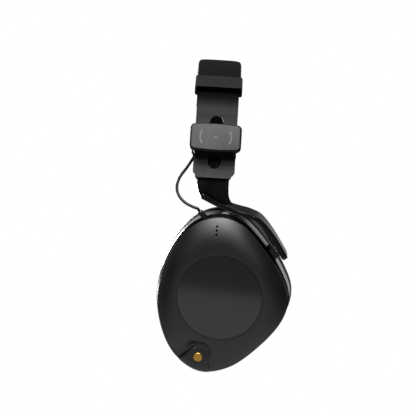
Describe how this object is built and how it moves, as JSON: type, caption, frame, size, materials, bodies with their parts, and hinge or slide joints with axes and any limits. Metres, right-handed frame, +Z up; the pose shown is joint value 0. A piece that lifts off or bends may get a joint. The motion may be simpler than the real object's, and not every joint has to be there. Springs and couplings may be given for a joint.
{
  "type": "over-ear headset",
  "caption": "Closed-back over-ear headset with a sprung slotted headband, padded crown, sliding lockable one-arm yokes and tilting padded ear cups.",
  "frame": {"origin": "the lowest point of the crown pad's underside, where the headset rests on the head", "axes": "+Z up; +X towards the wearer's left ear; +Y towards the back of the head, so the wearer faces -Y"},
  "size_m": [0.1844, 0.0873, 0.2105],
  "materials": {
    "spring_steel": "black brushed and blackened spring steel",
    "pad_fabric": "black woven suede-like fabric",
    "collar_plastic": "fine satin black plastic",
    "screw_steel": "plain steel",
    "arm_gloss": "gloss black moulded plastic",
    "carriage_plastic": "black plastic",
    "nylon": "natural nylon",
    "lead_rubber": "black cable jacket",
    "gland_plastic": "black plastic",
    "knob_plastic": "black plastic",
    "knob_face": "dark grey fine matte face with pale printed turn arrows",
    "shell_plastic": "satin black moulded plastic",
    "inlay_plastic": "plain round inlay, gloss above and matte grey below",
    "trim_satin": "satin grey metallic trim",
    "housing_plastic": "matt dark grey plastic",
    "baffle_plastic": "black plastic",
    "frame_plastic": "dark plastic",
    "magnet_steel": "plated magnet cup",
    "diaphragm_film": "thin pale film",
    "screen_fabric": "black acoustic cloth",
    "cushion_fabric": "black suede-like fabric over foam",
    "socket_plastic": "black plastic",
    "gold": "gold-coloured metal"
  },
  "bodies": {
    "headband": {"headband_spring": "spring_steel", "crown_cover": "pad_fabric", "crown_cushion": "pad_fabric", "left_collar": "collar_plastic", "right_collar": "collar_plastic", "collar_screws": "screw_steel"},
    "left_arm_body": {"left_arm": "arm_gloss", "left_carriage": "carriage_plastic", "left_inner_guide": "carriage_plastic", "left_friction_pad": "nylon", "left_lock_bolt": "screw_steel", "left_lock_clip": "screw_steel", "left_pivot_pin": "screw_steel", "left_pivot_clip": "screw_steel", "left_lead": "lead_rubber", "left_lead_gland": "gland_plastic"},
    "left_knob_body": {"left_lock_knob": "knob_plastic", "left_knob_cap": "knob_face"},
    "left_cup_body": {"left_outer_shell": "shell_plastic", "left_inlay": "inlay_plastic", "left_trim_ring": "trim_satin", "left_rear_housing": "housing_plastic", "left_baffle": "baffle_plastic", "left_driver_frame": "frame_plastic", "left_driver_magnet": "magnet_steel", "left_driver_diaphragm": "diaphragm_film", "left_ear_screen": "screen_fabric", "left_ear_cushion": "cushion_fabric", "left_jack_socket": "socket_plastic", "left_socket_stud": "gold", "left_shell_screws": "screw_steel", "left_pivot_block": "carriage_plastic", "left_strain_relief": "lead_rubber"},
    "right_arm_body": {"right_arm": "arm_gloss", "right_carriage": "carriage_plastic", "right_inner_guide": "carriage_plastic", "right_friction_pad": "nylon", "right_lock_bolt": "screw_steel", "right_lock_clip": "screw_steel", "right_pivot_pin": "screw_steel", "right_pivot_clip": "screw_steel"},
    "right_knob_body": {"right_lock_knob": "knob_plastic", "right_knob_cap": "knob_face"},
    "right_cup_body": {"right_outer_shell": "shell_plastic", "right_inlay": "inlay_plastic", "right_trim_ring": "trim_satin", "right_rear_housing": "housing_plastic", "right_baffle": "baffle_plastic", "right_driver_frame": "frame_plastic", "right_driver_magnet": "magnet_steel", "right_driver_diaphragm": "diaphragm_film", "right_ear_screen": "screen_fabric", "right_ear_cushion": "cushion_fabric", "right_shell_screws": "screw_steel", "right_pivot_block": "carriage_plastic"}
  },
  "joints": [
    {"name": "left_slide", "type": "slide", "parent": "headband", "child": "left_arm_body", "axis": [-0.1564, 0, 0.9877], "range_m": [-0.014, 0.0078]},
    {"name": "left_lock_turn", "type": "hinge", "parent": "left_arm_body", "child": "left_knob_body", "pos_m": [0.08597, 0, -0.04212], "axis": [0.9877, 0, 0.1564], "range_deg": [-90, 90]},
    {"name": "left_cup_tilt", "type": "hinge", "parent": "left_arm_body", "child": "left_cup_body", "pos_m": [0.08218, 0.04242, -0.11311], "axis": [0.2162, 0.7338, 0.644], "range_deg": [-9, 6], "deforming": ["left_lead"]},
    {"name": "right_slide", "type": "slide", "parent": "headband", "child": "right_arm_body", "axis": [0.1564, 0, 0.9877], "range_m": [-0.014, 0.0078]},
    {"name": "right_lock_turn", "type": "hinge", "parent": "right_arm_body", "child": "right_knob_body", "pos_m": [-0.08597, 0, -0.04212], "axis": [-0.9877, 0, 0.1564], "range_deg": [-90, 90]},
    {"name": "right_cup_tilt", "type": "hinge", "parent": "right_arm_body", "child": "right_cup_body", "pos_m": [-0.08218, 0.04242, -0.11311], "axis": [-0.2162, 0.7338, 0.644], "range_deg": [-6, 9]}
  ]
}
